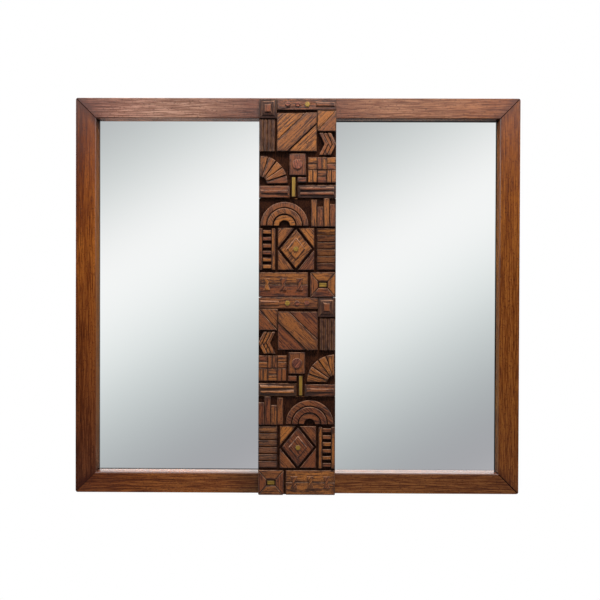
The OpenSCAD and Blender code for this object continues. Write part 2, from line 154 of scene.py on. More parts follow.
def mixColour(factor, first, second, mode="MIX"):
    inputs = {0: factor, 6: first, 7: second}
    tree = treeOf(inputs.values())
    return field(tree, "Mix", inputs, 2, data_type="RGBA", blend_type=mode)


def remap(value, low, high, toLow=0, toHigh=1, smooth=False):
    kind = "SMOOTHSTEP" if smooth else "LINEAR"
    inputs = {0: value, 1: low, 2: high, 3: toLow, 4: toHigh}
    return field(value.tree, "MapRange", inputs, interpolation_type=kind)


def ramp(value, stops, kind="LINEAR"):
    made = add(value.tree, "ValToRGB", {0: value})
    elements = made.color_ramp.elements
    made.color_ramp.interpolation = kind
    while len(elements) < len(stops):
        elements.new(1)
    for index, (place, colour) in enumerate(stops):
        elements[index].position = place
        elements[index].color = colour
    return Field(made.outputs[0])


def stretched(vector, by):
    by = by if isinstance(by, tuple) else (by, by, by)
    return field(vector.tree, "VectorMath", {0: vector, 1: by}, operation="MULTIPLY")


def noise(vector, cells, detail=3, roughness=0.55, distortion=0):
    # cells is how many fit in a metre, along the grain, across it and through it or each way
    inputs = {"Vector": stretched(vector, cells), "Scale": 1, "Detail": detail,
              "Roughness": roughness, "Distortion": distortion}
    return field(vector.tree, "TexNoise", inputs)


def feed(node, values):
    for key, value in values.items():
        value.tree.links.new(value.socket, node.inputs[key])


def newGroup(name, inputs, outputs):
    tree = bpy.data.node_groups.new(name, "ShaderNodeTree")
    for label, kind, value in inputs:
        socket = tree.interface.new_socket(label, in_out="INPUT", socket_type="NodeSocket" + kind)
        if value is not None:
            socket.default_value = value
    for label in outputs:
        tree.interface.new_socket(label, in_out="OUTPUT", socket_type="NodeSocketFloat")
    return tree, fields(tree.nodes.new("NodeGroupInput")), tree.nodes.new("NodeGroupOutput")


def useGroup(tree, group, inputs):
    return fields(add(tree, "Group", inputs, node_tree=group))


def newMaterial(name, inputs):
    material = bpy.data.materials.new(name)
    material.use_nodes = True
    tree = material.node_tree
    shader = tree.nodes["Principled BSDF"]
    for key, value in inputs.items():
        shader.inputs[key].default_value = value
    return material, tree, shader


def bumped(shader, height, distance, strength=1):
    inputs = {"Height": height, "Distance": distance, "Strength": strength}
    feed(shader, {"Normal": field(height.tree, "Bump", inputs)})


# Effects that several materials share

grainLook = {
    # cells of each noise in a metre: along the grain, across it and through it
    "slow": (2.4, 11, 11), "uneven": (0.8, 50, 50), "patchy": (1.6, 36, 36),
    "dashes": (30, 360, 360), "streaks": (5, 440, 440), "fibre": (24, 620, 620),
    "cloud": (4, 24, 24), "flecks": (180, 260, 260),
    "unevenShare": 2,
    "ringPower": 3.2,  # how sharply a ring ends
    "ringPatches": (0.36, 0.6, 0.15, 1),  # the patchy noise's levels, and a ring's share at each
    "poreTop": 0.74,
    "ringPores": (0, 0.7, 0.4, 1),  # the ring's levels, and a pore's share at each
    "fleckLevels": (0.56, 0.68),
}


def makeGrain():
    # A ring darkens slowly and ends sharply: fract(across x rings a metre + slow noise) raised to
    # a power, and weaker in places. Streaks and fibres are noise drawn out along the grain, and
    # pores are short dashes where a finer noise passes a level.
    look = grainLook
    tree, given, out = newGroup(
        "woodGrain",
        [("Vector", "Vector", None), ("Rings", "Float", 120), ("Wander", "Float", 5),
         ("Pore Level", "Float", 0.6)],
        ["Rings", "Streaks", "Fibre", "Pores", "Cloud", "Flecks"])
    vector = given["Vector"]
    slow = noise(vector, look["slow"], detail=2, distortion=0.5)
    uneven = noise(vector, look["uneven"], detail=2)
    patchy = noise(vector, look["patchy"], detail=2)
    phase = split(vector)[1] * given["Rings"] + slow * given["Wander"]
    phase = phase + uneven * look["unevenShare"]
    ring = calc("FRACT", phase) ** look["ringPower"] * remap(patchy, *look["ringPatches"])
    pores = remap(noise(vector, look["dashes"]), given["Pore Level"], look["poreTop"])
    flecks = noise(vector, look["flecks"], detail=2, distortion=0.6)
    feed(out, {
        "Rings": ring,
        "Streaks": noise(vector, look["streaks"]),
        "Fibre": noise(vector, look["fibre"], roughness=0.6),
        "Pores": pores * remap(ring, *look["ringPores"]),
        "Cloud": noise(vector, look["cloud"]),
        "Flecks": remap(flecks, *look["fleckLevels"])})
    return tree


wearAndShadingLook = {
    "cells": (60, 90, 90),
    "broken": 0.9,  # how far the noise moves the inner edge of the grime
    # levels of the normal's Z, and of the noise
    "dustFacing": (0.5, 1), "dustPatches": (0.35, 0.7),
    "rubbedFacing": (-0.2, 0.5), "rubbedPatches": (0.36, 0.56),
}


def makeWearAndShading():
    # A mask keeps to the edges and is broken up by noise; on the relief it darkens as glaze on the
    # faces and as painted shade on the sides, in the crevices. Dust lies on what faces up.
    # The arrises are lighter as wear and as a painted highlight, most on the upper side: 4 f (1 -
    # f), where f is the normal's Y squared.
    look = wearAndShadingLook
    tree, given, out = newGroup(
        "edgeGrime",
        [("Edge", "Float", 1), ("Vector", "Vector", None), ("Reach", "Float", 0.6)],
        ["Grime", "Dust", "Rubbed"])
    patch = noise(given["Vector"], look["cells"])
    edge = (patch - 0.5) * look["broken"] + given["Edge"]
    normal = split(field(tree, "NewGeometry", output="Normal"))
    front = normal[1] ** 2
    upper = remap(normal[2], *look["rubbedFacing"]) * remap(patch, *look["rubbedPatches"])
    feed(out, {
        "Grime": remap(edge, 0, given["Reach"], 1, 0, smooth=True),
        "Dust": remap(normal[2], *look["dustFacing"]) * remap(patch, *look["dustPatches"]),
        "Rubbed": front * 4 * (1 - front) * upper})
    return tree


grain = makeGrain()
wearAndShading = makeWearAndShading()
print("shared effects: grain, edge grime")


# Wood finishes

woodMarks = {
    "ringMiddle": 0.15,  # the ring's level at which the stain is as written
    "bump": 0.7,  # the bump's strength
    "cloudShift": 0.25,  # how far the cloudy noise moves a spot along a member's colour ramp
    "middleSize": 0.7,  # where a board is lighter and more streaked
    "middleStreaks": (0.4, 0.6),
    "line": (0.8 * mm, 2.4 * mm),  # where a mitre's dark line starts to fade, and is gone
    "lineTurns": (0.2, 0.8),  # where along a member the line's share changes
    "haloPatches": (0.35, 0.6, 0.4, 1),
    "rim": (0.93, 0.98),  # shares of the face's width
    "lipTurns": (0.35, 0.65),  # where along a member the lip's colour changes
    "dust": rgb(150, 130, 112), "dustShare": 0.1,
    # colour of the lighter upper arrises: wear and painted highlight
    "rubbed": rgb(168, 116, 78),
    "glazeDull": 0.5,  # how much rougher the glaze in the corners is
    "fibreLevels": (0.35, 0.65), "fibreRough": (0.04, -0.03),
}


def attribute(tree, name, output="Fac"):
    return field(tree, "Attribute", None, output, attribute_name=name, attribute_type="GEOMETRY")


def tinted(colour, tint):
    # the colour times twice the tint, so that a tint of 0.5 leaves it as it is
    return mixColour(1, mixColour(1, colour, tint, "MULTIPLY"), (2, 2, 2, 1), "MULTIPLY")


def colourPlace(tree, tone, wood, level):
    # Gives where a spot is on the colour ramp, which on a frame member holds painted light and
    # shade as well as the stain, and the grain's level there.
    # A member may be darker to one edge, and a board is lighter and more streaked in its middle.
    look = woodMarks
    if tone["follows"] == "length":
        ends, across = attribute(tree, "ends"), attribute(tree, "across")
        place = (wood["Cloud"] - 0.5) * look["cloudShift"] + ends
        return place, (across - 0.5) * tone["tilt"] + level
    if tone["follows"] == "board":
        cell = split(attribute(tree, "cell", "Vector"))
        centred = look["middleSize"] - calc("MAXIMUM", cell[0] ** 2, cell[1] ** 2)
        streaked = remap(wood["Streaks"], *look["middleStreaks"], 0, 2 * tone["middle"])
        return remap(cell[2], -1, 1), centred * streaked + level
    return wood["Cloud"], level


def memberMarks(tree, tone, wood, colour):
    # A member has a dark line and a halo at its mitres, a dark rim of painted shadow on the arris
    # beside the pane and a lip whose colour is partly bare wood and partly painted light and shade.
    # Gives the colour, and where the line and the lip are.
    look = woodMarks
    ends, across, joint, sight = (attribute(tree, label)
                                  for label in ("ends", "across", "joint", "sight"))
    line = remap(joint, *look["line"], 1, 0, smooth=True)
    line = line * remap(ends, *look["lineTurns"], *tone["joint"])
    halo = remap(joint, 0, tone["haloReach"], tone["halo"], 0, smooth=True)
    halo = halo * remap(wood["Cloud"], *look["haloPatches"])
    # painted shadow on the arris beside the pane, kept off the lip
    rim = remap(across, *look["rim"], 0, tone["rim"]) * (1 - sight)
    colour = mixColour(halo, colour, tone["haloColour"])
    colour = mixColour(line, colour, tone["jointColour"])
    colour = mixColour(rim, colour, tone["haloColour"])
    # the lip's colour is bare wood and painted light and shade on the reveal
    lip = mixColour(remap(ends, *look["lipTurns"]), *tone["sight"])
    return mixColour(sight, colour, tinted(colour, lip)), line, sight


def boardMarks(tree, tone, vector, colour):
    # A board of the relief is darker at its edges, as glaze and as painted shade in the crevices,
    # has a little dust on top, and has upper arrises that are lighter as wear and as a painted
    # highlight.
    # Gives the colour, and how dull the darkened edges are.
    look = woodMarks
    edgeOutputs = useGroup(tree, wearAndShading, {
        "Edge": attribute(tree, "edge"), "Vector": vector, "Reach": tone["reach"]})
    edgeDarkening = edgeOutputs["Grime"] * tone["grime"]
    rubbed = edgeOutputs["Rubbed"] * tone["rubbed"]
    # darker edges: glaze on the faces, and painted shade on the sides in the crevices
    colour = mixColour(edgeDarkening, colour, tone["pore"])
    colour = mixColour(edgeOutputs["Dust"] * look["dustShare"], colour, look["dust"])
    # lighter upper arrises: wear, and a painted highlight from above
    colour = mixColour(rubbed, colour, look["rubbed"])
    return colour, calc("MAXIMUM", edgeDarkening - rubbed * 2, 0)


def woodFinish(name, tone, source=None):
    # The colour ramp follows a member's length or differs from board to board, and is darkened or
    # lightened by the grain. On a member the ramp holds painted light and shade as well as the
    # stain.
    # Pores and flecks lie over it, and over them the marks above, some of them painted light and
    # shade too.
    look = woodMarks
    material, tree, shader = newMaterial(name, {
        "Roughness": tone["roughness"], "IOR": 1.5, "Specular IOR Level": tone["specular"],
        "Coat Weight": tone["coat"], "Coat Roughness": 0.12})
    vector = source(tree) if source else attribute(tree, "grain", "Vector")
    wood = useGroup(tree, grain, {
        "Vector": stretched(vector, tone["finer"]), "Rings": tone["rings"],
        "Wander": tone["wander"], "Pore Level": tone["poreLevel"]})
    level = (look["ringMiddle"] - wood["Rings"]) * tone["ringShare"]
    for part, share in zip(("Streaks", "Fibre", "Cloud"), tone["shares"]):
        level = (wood[part] - 0.5) * share + level
    place, level = colourPlace(tree, tone, wood, level)
    shade = ramp(level + 0.5, [
        (0, tone["darker"]), (0.5, (0.5, 0.5, 0.5, 1)), (1, tone["lighter"])])
    # on a frame member this ramp holds painted light and shade as well as the stain
    colour = tinted(ramp(place, tone["stain"]), shade)
    pores = calc("MAXIMUM", wood["Pores"] * tone["poreShare"], wood["Flecks"] * tone["fleckShare"])
    colour = mixColour(pores, colour, tone["pore"])
    rough = [tone["roughness"] + change for change in look["fibreRough"]]
    gloss = remap(wood["Fibre"], *look["fibreLevels"], *rough)
    if "joint" in tone:
        colour, line, sight = memberMarks(tree, tone, wood, colour)
        feed(shader, {"Metallic": line})  # black and metallic, so it has no sheen
        gloss = sight * tone["sightRough"] + gloss
    if "grime" in tone:
        colour, dull = boardMarks(tree, tone, vector, colour)
        gloss = dull * look["glazeDull"] + gloss
    feed(shader, {"Base Color": colour, "Roughness": gloss})
    bumped(shader, wood["Fibre"] * 0.5 - wood["Pores"], tone["relief"], look["bump"])
    return material


frameTone = {
    "rings": 190, "wander": 9, "poreLevel": 0.54, "ringShare": 0.5, "shares": (3.2, 4, 0.8),
    "finer": (1, 1, 1), "follows": "length", "darker": (0.25, 0.2, 0.14, 1),
    "lighter": (0.8, 0.96, 1, 1), "pore": rgb(50, 20, 8), "poreShare": 0.6,
    "fleckShare": 0.6, "joint": (0.97, 0.97), "jointColour": rgb(22, 8, 5), "halo": 0.3,
    "haloReach": 32 * mm, "haloColour": rgb(50, 15, 6), "roughness": 0.2, "specular": 0.35,
    "coat": 0, "relief": 0.22 * mm,
    "tilt": 0,  # how much darker the outer edge is than the edge beside the pane
    # the rim is painted shadow on the arris beside the pane
    "rim": 0.35,  # how dark the arris beside the pane is
    # on the lip's inner face twice `sight` (at the start and at the end of the member) multiplies
    # the ramp's colour, as bare wood and as painted light and shade on the reveal, and it is
    # rougher by sightRough
    "sightRough": 0.04,
}
# colour from the left or lower end of a member to the right or upper end: the stain with painted
# light in it. The top rail's pale stretches are a painted sheen, the rails are darker beside the
# relief panel as a painted shadow of it, and the stiles darken towards their lower ends as painted
# falloff of the light from above
memberTones = {
    "top_rail": {
        "stain": [(0, rgb(94, 46, 31)), (0.1, rgb(135, 89, 72)), (0.2, rgb(137, 95, 77)),
                  (0.3, rgb(120, 78, 60)), (0.4, rgb(86, 44, 29)), (0.6, rgb(97, 52, 32)),
                  (0.73, rgb(124, 78, 54)), (0.88, rgb(120, 70, 43)), (1, rgb(106, 54, 29))],
        "halo": 0.9, "ringShare": 0.8, "rim": 0.15,
        "sight": ((1.04, 1.03, 1, 1), (0.46, 0.45, 0.42, 1))},
    "bottom_rail": {
        "stain": [(0, rgb(96, 47, 20)), (0.12, rgb(109, 56, 21)), (0.3, rgb(115, 62, 26)),
                  (0.41, rgb(76, 43, 20)), (0.59, rgb(102, 56, 24)), (1, rgb(98, 54, 24))],
        "joint": (0.3, 0.97), "rim": 0.65, "tilt": -0.4,
        # the pale lip is bare wood and a painted highlight, the glare on the upward reveal
        "sight": ((0.65, 0.64, 0.49, 1), (0.57, 0.48, 0.26, 1)), "sightRough": 0.14},
    "left_stile": {
        "stain": [(0, rgb(74, 35, 18)), (0.3, rgb(96, 47, 18)), (0.62, rgb(121, 62, 20)),
                  (0.85, rgb(106, 50, 18)), (1, rgb(78, 32, 12))],
        "halo": 0.95, "joint": (0.3, 0.97), "tilt": 0.8, "roughness": 0.17, "specular": 0.3,
        # the dark lip is painted shade on the reveal
        "sight": ((0.31, 0.33, 0.06, 1), (0.31, 0.33, 0.06, 1)), "sightRough": 0.8},
    "right_stile": {
        "stain": [(0, rgb(98, 51, 19)), (0.3, rgb(112, 60, 21)), (0.7, rgb(111, 58, 19)),
                  (1, rgb(104, 49, 13))],
        "halo": 0.5, "roughness": 0.17,
        "sight": ((0.4, 0.46, 0.13, 1), (0.62, 0.66, 0.24, 1)), "sightRough": 0.8},
}
reliefTone = {
    "rings": 120, "wander": 8, "poreLevel": 0.5, "ringShare": 0.55, "shares": (2.6, 3, 1.4),
    "finer": (3, 0.72, 0.72), "follows": "board", "middle": 0.85,
    "stain": [(0, rgb(78, 39, 24)), (0.4, rgb(84, 46, 28)), (0.75, rgb(96, 56, 31)),
              (1, rgb(112, 67, 34))],
    "darker": (0.14, 0.11, 0.1, 1), "lighter": (1, 1, 0.74, 1),
    # the edge darkening, in the pore colour, is glaze and painted shade in the crevices
    "pore": rgb(26, 11, 7), "poreShare": 0.75, "fleckShare": 0.75, "grime": 0.85, "reach": 0.6,
    # share of the lighter upper arrises: wear and painted highlight
    "rubbed": 0.9, "coat": 0.12, "roughness": 0.33, "specular": 0.3, "relief": 0.35 * mm,
}
# the ground is stained dark, and darker still as painted shade in the crevices between the boards,
# where it shows
groundTone = dict(reliefTone, stain=[(0, rgb(30, 14, 9)), (1, rgb(46, 24, 15))], grime=0.5,
                  middle=0, roughness=0.6, specular=0.05, coat=0, finer=(12, 1, 1))
redTone = dict(reliefTone, stain=[(0, rgb(98, 54, 42)), (1, rgb(110, 62, 48))], middle=0)
rawTone = dict(frameTone, follows="nothing", stain=[(0, rgb(178, 140, 94)), (1, rgb(178, 140, 94))],
               darker=(0.36, 0.34, 0.32, 1), lighter=(0.62, 0.62, 0.62, 1),
               pore=rgb(118, 82, 50), roughness=0.62, relief=0.3 * mm)
del rawTone["joint"]


def objectPlace(tree):
    return field(tree, "TexCoord", output="Object")


def upright(tree):
    # object coordinates with the grain along Z
    parts = split(objectPlace(tree))
    return field(tree, "CombineXYZ", {0: parts[2], 1: parts[0], 2: parts[1]})


def giltWood():
    # Gold paint rubbed through to brown where the edges stand proud and the fibres are raised
    look = {"gold": rgb(150, 118, 44), "deep": rgb(98, 72, 24), "wood": rgb(56, 32, 20),
            "fibres": (0.35, 0.65), "atEdges": 0.75, "atPores": 0.7, "reach": 0.5,
            "metal": (0.55, 0), "bareLevels": (0, 0.6), "roughness": (0.36, 0.6),
            "relief": 0.3 * mm}
    material, tree, shader = newMaterial("giltWood", {"Roughness": 0.42, "Coat Weight": 0.1})
    vector = attribute(tree, "grain", "Vector")
    wood = useGroup(tree, grain, {"Vector": vector})
    edgeOutputs = useGroup(tree, wearAndShading, {
        "Edge": attribute(tree, "edge"), "Vector": vector, "Reach": look["reach"]})
    gold = mixColour(remap(wood["Fibre"], *look["fibres"]), look["deep"], look["gold"])
    bare = calc("MAXIMUM", edgeOutputs["Grime"] * look["atEdges"], wood["Pores"] * look["atPores"])
    feed(shader, {
        "Base Color": mixColour(bare, gold, look["wood"]),
        "Metallic": remap(bare, *look["bareLevels"], *look["metal"]),
        "Roughness": remap(bare, 0, 1, *look["roughness"])})
    bumped(shader, wood["Fibre"], look["relief"], 0.6)
    return material


finishes = {name: woodFinish(name + "Wood", dict(frameTone, **tone))
            for name, tone in memberTones.items()}
finishes["relief"] = woodFinish("reliefWood", reliefTone)
finishes["ground"] = woodFinish("darkGround", groundTone)
finishes["red"] = woodFinish("redStainedWood", redTone)
finishes["raw"] = woodFinish("rawWood", rawTone, upright)
finishes["gilt"] = giltWood()
print("wood finishes: %d" % len(finishes))


# Glass, board, felt, metal and rubber

def mirrorGlass():
    # Silver with a thin dark line just inside the frame, which is a painted shadow where the glass
    # meets the reveal, and grey paint on the back. For each side the look gives the line's distance
    # from the frame and its share on the left pane and on the right one.
    look = {"silver": (0.965, 0.97, 0.967, 1), "paint": (rgb(96, 104, 106), rgb(120, 128, 130)),
            # the line is painted shadow along the reveal
            "line": (0.02, 0.015, 0.015, 1), "lineHalf": (0.92 * mm, 2.3 * mm),
            "uneven": 1 * mm, "unevenCells": 5,
            "top": (3.6 * mm, 0.05, 1), "side": (4.6 * mm, 0.6, 1), "foot": (4.7 * mm, 0.75, 0.15),
            "brush": (60, 60, 400), "brushLevels": (0.35, 0.65), "backRough": 0.5}
    material, tree, shader = newMaterial("mirrorGlass", {"IOR": 1.5})
    place = objectPlace(tree)
    x, _, z = split(place)
    back = remap(split(field(tree, "NewGeometry", output="Normal"))[1], 0.4, 0.6)
    brushed = noise(place, look["brush"], detail=4)
    paint = mixColour(remap(brushed, *look["brushLevels"]), *look["paint"])
    onRight = calc("GREATER_THAN", x, 0)
    uneven = (noise(place, look["unevenCells"]) - 0.5) * look["uneven"]
    opening = halfHeight - faceWidth
    inside = {"top": float(middle[2]) + opening - z, "foot": z - (float(middle[2]) - opening),
              "side": halfWidth - faceWidth - abs(x)}
    line = 0
    for side, distance in inside.items():
        lineAt, onLeft, onOther = look[side]
        off = abs(distance - lineAt) + uneven
        mark = remap(off, *look["lineHalf"], 1, 0)
        line = calc("MAXIMUM", line, mark * remap(onRight, 0, 1, onLeft, onOther))
    # lays the painted shadow line over the silver
    silver = mixColour(line, look["silver"], look["line"])
    feed(shader, {
        "Base Color": mixColour(back, silver, paint), "Metallic": 1 - back,
        "Roughness": back * look["backRough"]})
    return material


def hardboard():
    # Pressed fibre with the mark of the press screen on it
    look = {"dark": rgb(84, 56, 36), "light": rgb(128, 92, 62), "levels": (0.42, 0.8),
            "fleckCells": 260, "fleckShare": 0.7, "cloudCells": 5, "cloudShare": 0.5,
            "screen": 420, "relief": 0.25 * mm}
    material, tree, shader = newMaterial("backingBoard", {"Roughness": 0.72})
    place = objectPlace(tree)
    flecks = noise(place, look["fleckCells"], detail=4)
    tone = flecks * look["fleckShare"] + noise(place, look["cloudCells"]) * look["cloudShare"]
    colour = mixColour(remap(tone, *look["levels"]), look["dark"], look["light"])
    feed(shader, {"Base Color": colour})
    inputs = {"Vector": place, "Scale": look["screen"] / 6.28}
    waves = [field(tree, "TexWave", inputs, 1, bands_direction=axis) for axis in ("X", "Z")]
    bumped(shader, calc("MAXIMUM", *waves) + flecks, look["relief"])
    return material


steelLook = {"blotches": (140, 3), "skin": ((200, 1500, 2600), 2), "levels": (0.7, 0.35),
             "skinShare": 0.4, "roughLevels": (0.45, 0.95), "relief": 0.05 * mm,
             "shader": {"Metallic": 1}}
# blotches and skin are noises, each with its cells and its detail
mottledLooks = {
    "feltTape": {
        "dark": rgb(22, 21, 20), "light": rgb(52, 50, 47), "levels": (0.35, 0.65),
        "blotches": (900, 4), "skin": (900, 4), "relief": 0.4 * mm,
        "shader": {"Roughness": 0.95, "Sheen Weight": 0.4, "Sheen Roughness": 0.5}},
    "bumperRubber": {
        "dark": rgb(26, 26, 27), "light": rgb(46, 46, 47), "levels": (0.4, 0.7),
        "blotches": (220, 4), "skin": (1800, 3), "skinShare": 0, "roughLevels": (0.3, 0.7),
        "roughness": (0.5, 0.72), "relief": 0.08 * mm, "shader": {}},
    "screwSteel": dict(
        steelLook, dark=rgb(150, 144, 128), light=rgb(205, 202, 190), roughness=(0.24, 0.5)),
    "hangerSteel": dict(
        steelLook, dark=rgb(168, 168, 164), light=rgb(214, 214, 210), roughness=(0.2, 0.42)),
}


def mottled(name):
    # Felt, rubber and plated steel: blotches mix two colours and, except on felt, change the
    # roughness. A skin of fuzz, grains or drawn lines is the bump.
    look = mottledLooks[name]
    material, tree, shader = newMaterial(name, look["shader"])
    blotches, skin = (noise(objectPlace(tree), cells, detail=detail)
                      for cells, detail in (look["blotches"], look["skin"]))
    colour = mixColour(remap(blotches, *look["levels"]), look["dark"], look["light"])
    feed(shader, {"Base Color": colour})
    if "roughness" in look:
        rough = skin * look["skinShare"] + blotches
        feed(shader, {"Roughness": remap(rough, *look["roughLevels"], *look["roughness"])})
    bumped(shader, skin, look["relief"])
    return material


finishes["mirror"] = mirrorGlass()
finishes["board"] = hardboard()
finishes["felt"] = mottled("feltTape")
finishes["screw"] = mottled("screwSteel")
finishes["hanger"] = mottled("hangerSteel")
finishes["rubber"] = mottled("bumperRubber")
print("glass, board, felt, metal and rubber finishes made")


# Making pieces

def spoken(node):
    # tile1_stepped_block becomes tile1SteppedBlock
    words = node.split("_")
    return words[0] + "".join(word.capitalize() for word in words[1:])


def writeAttributes(mesh, attributes):
    # one number or one vector for each vertex
    for label, values in attributes.items():
        values = np.asarray(values, np.float32).reshape(len(mesh.vertices), -1)
        kind, key = ("FLOAT", "value") if values.shape[1] == 1 else ("FLOAT_VECTOR", "vector")
        mesh.attributes.new(label, kind, "POINT").data.foreach_set(key, values.ravel())


def newPiece(node, points, faces, finish, attributes=None):
    # Puts the arrays into a mesh, merges doubles and turns the faces outwards
    mesh = bpy.data.meshes.new(spoken(node))
    mesh.from_pydata(points.reshape(-1, 3).tolist(), [], faces)
    writeAttributes(mesh, attributes or {})
    bm = bmesh.new()
    bm.from_mesh(mesh)
    bmesh.ops.remove_doubles(bm, verts=bm.verts, dist=1e-6)
    bmesh.ops.recalc_face_normals(bm, faces=bm.faces)
    bm.to_mesh(mesh)
    bm.free()
    finishPiece(node, mesh, finish, 38)


def newObject(name, data):
    made = bpy.data.objects.new(name, data)
    bpy.context.scene.collection.objects.link(made)
    return made


def finishPiece(node, mesh, finish, sharp):
    # shades it smooth apart from edges over `sharp` degrees, and puts it in its node's place
    mesh.polygons.foreach_set("use_smooth", np.ones(len(mesh.polygons), bool))
    mesh.set_sharp_from_angle(angle=math.radians(sharp))
    mesh.materials.clear()
    mesh.materials.append(finishes[finish])
    piece = newObject(spoken(node), mesh)
    piece.modifiers.new("weighted", "WEIGHTED_NORMAL").keep_sharp = True
    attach(piece, frame["nodes"][node]["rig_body"])
    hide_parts(node)


def gridFaces(rows, columns, closedRows=False):
    # quads between neighbouring rows of a grid whose columns run round
    row = np.arange(rows if closedRows else rows - 1)[:, None]
    column = np.arange(columns)[None, :]
    after, right = (row + 1) % rows * columns, (column + 1) % columns
    corners = [row * columns + column, row * columns + right, after + right, after + column]
    return np.stack(corners, -1).reshape(-1, 4).tolist()


def islandsOf(edges, count):
    # gives each vertex the number of the loose part that it is on, by passing the lowest label on
    label = np.arange(count)
    while True:
        lowest = np.minimum(label[edges[:, 0]], label[edges[:, 1]])
        passed = label.copy()
        np.minimum.at(passed, edges[:, 0], lowest)
        np.minimum.at(passed, edges[:, 1], lowest)
        passed = passed[passed]
        if (passed == label).all():
            return np.unique(label, return_inverse=True)[1]
        label = passed


def meshArrays(mesh):
    # its vertices, its edges and the number of the loose part that each vertex is on
    points = np.empty(len(mesh.vertices) * 3)
    mesh.vertices.foreach_get("co", points)
    edges = np.empty(len(mesh.edges) * 2, int)
    mesh.edges.foreach_get("vertices", edges)
    points, edges = points.reshape(-1, 3), edges.reshape(-1, 2)
    return points, edges, islandsOf(edges, len(points))


def boxesOf(points, island):
    # lowest and highest corner of each loose part
    parts = [points[island == k] for k in range(island.max() + 1)]
    return np.array([[part.min(0), part.max(0)] for part in parts])


def mergedCopy(node):
    # the CAD node's loose triangles, joined into clean faces
    bm = bmesh.new()
    bm.from_mesh(frame["nodes"][node].data)
    bmesh.ops.remove_doubles(bm, verts=bm.verts, dist=1e-6)
    bmesh.ops.dissolve_limit(bm, angle_limit=math.radians(0.1), verts=bm.verts, edges=bm.edges)
    return bm


def solidBoxes(node):
    bm = mergedCopy(node)
    mesh = bpy.data.meshes.new("scratch")
    bm.to_mesh(mesh)
    bm.free()
    points, _, island = meshArrays(mesh)
    bpy.data.meshes.remove(mesh)
    return boxesOf(points, island)


# Frame members

mouldingLook = {
    "cornerRadius": 6 * mm,  # seen from the front
    "arris": 1.6 * mm,  # outer front edge
    "sightChamfer": 2.5 * mm,
    "softened": 0.5 * mm,  # every other edge
    "inner": 0.1 * mm,  # inner corners of the rebates
    "jointEase": 0.05 * mm,  # how far the face dips at a mitre
    "jointReach": 1.1 * mm,
    # stations along the first half of a member, as shares of its length
    "stations": [0, 0.0004, 0.0009, 0.0016, 0.0026, 0.004, 0.007, 0.015, 0.04, 0.1, 0.2, 0.35],
    "mitreSteps": 40,
    "apart": 40,  # metres at most by which a member's grain is moved
}


def roundedLoop(corners, radii, steps=4):
    # Replaces each corner of a loop by a quadratic curve that starts and ends radius away from it
    corners = np.array(corners, float)
    before, after = np.roll(corners, 1, 0) - corners, np.roll(corners, -1, 0) - corners
    before /= np.linalg.norm(before, axis=1, keepdims=True)
    after /= np.linalg.norm(after, axis=1, keepdims=True)
    reach = np.array(radii)[:, None]
    start, end = corners + before * reach, corners + after * reach
    t = np.linspace(0, 1, steps + 1)[None, :, None]
    curve = (1 - t) ** 2 * start[:, None] + t ** 2 * end[:, None]
    curve += 2 * t * (1 - t) * corners[:, None]
    return curve.reshape(-1, 2)


def mouldingSection():
    # corners as distance from the outer edge and from the front, round the section
    look = mouldingLook
    chamfer, soft, inner = look["sightChamfer"], look["softened"], look["inner"]
    corners = [(0, 0), (faceWidth - chamfer, 0), (faceWidth, chamfer), (faceWidth, lipDepth),
               (rebate, lipDepth), (rebate, boardDepth), (land, boardDepth), (land, frameDepth),
               (0, frameDepth)]
    radii = [look["arris"], soft, soft, soft, inner, soft, inner, soft, 2 * soft]
    return roundedLoop(corners, radii)


def frameMember(node, along, outward):
    # The section is carried from end to end. A point that lies `across` from the outer edge ends
    # where its distance from the member's end is the same, which is the mitre. Near the end the
    # outer edge comes in by r - sqrt(r^2 - (r - distance)^2), and the first r of the section
    # is pressed together to follow it.
    look = mouldingLook
    along, outward = np.array(along), np.array(outward)
    halfLength, halfSpan = abs(along) @ halfSizes, abs(outward) @ halfSizes
    radius = look["cornerRadius"]
    across, depth = mouldingSection().T

    def pressed(distance):
        near = np.clip(radius - distance, 0, radius)
        outer = radius - np.sqrt(radius ** 2 - near ** 2)
        return np.where(across < radius, outer + across * (1 - outer / radius), across)

    end = across.copy()
    for _ in range(look["mitreSteps"]):
        end = (end + pressed(end)) / 2
    half = np.array(look["stations"])
    stations = np.concatenate([half, [0.5], 1 - half[::-1]])[:, None]
    place = end + stations * (2 * halfLength - 2 * end)
    distance = np.minimum(place, 2 * halfLength - place)
    inward = pressed(distance)
    joint = np.maximum(distance - inward, 0)
    dip = look["jointEase"] * np.clip(1 - joint / look["jointReach"], 0, 1) ** 2
    front = np.clip(1 - depth / lipDepth, 0, 1) * (depth < look["arris"])
    deep = depth + dip * front
    spot = place - halfLength
    points = middle + along * spot[..., None] + outward * (halfSpan - inward)[..., None]
    points[..., 1] = frontY + deep
    rows, columns = place.shape
    index = np.arange(rows * columns).reshape(rows, columns).tolist()
    faces = gridFaces(rows, columns) + [index[0][::-1], index[-1]]
    offset = dice.uniform(-look["apart"], look["apart"], 3)
    local = np.stack([spot, inward, deep], -1) + offset
    onLip = (across > faceWidth - look["inner"]) & (depth > look["sightChamfer"])
    newPiece(node, points, faces, node, {
        "grain": local, "joint": joint, "ends": place / (2 * halfLength),
        "across": inward / faceWidth, "sight": onLip + 0 * place})


frameMember("top_rail", (1, 0, 0), (0, 0, 1))
frameMember("bottom_rail", (1, 0, 0), (0, 0, -1))
frameMember("left_stile", (0, 0, 1), (-1, 0, 0))
frameMember("right_stile", (0, 0, 1), (1, 0, 0))
print("frame members made")


# Boards and straps, which keep the CAD's shape

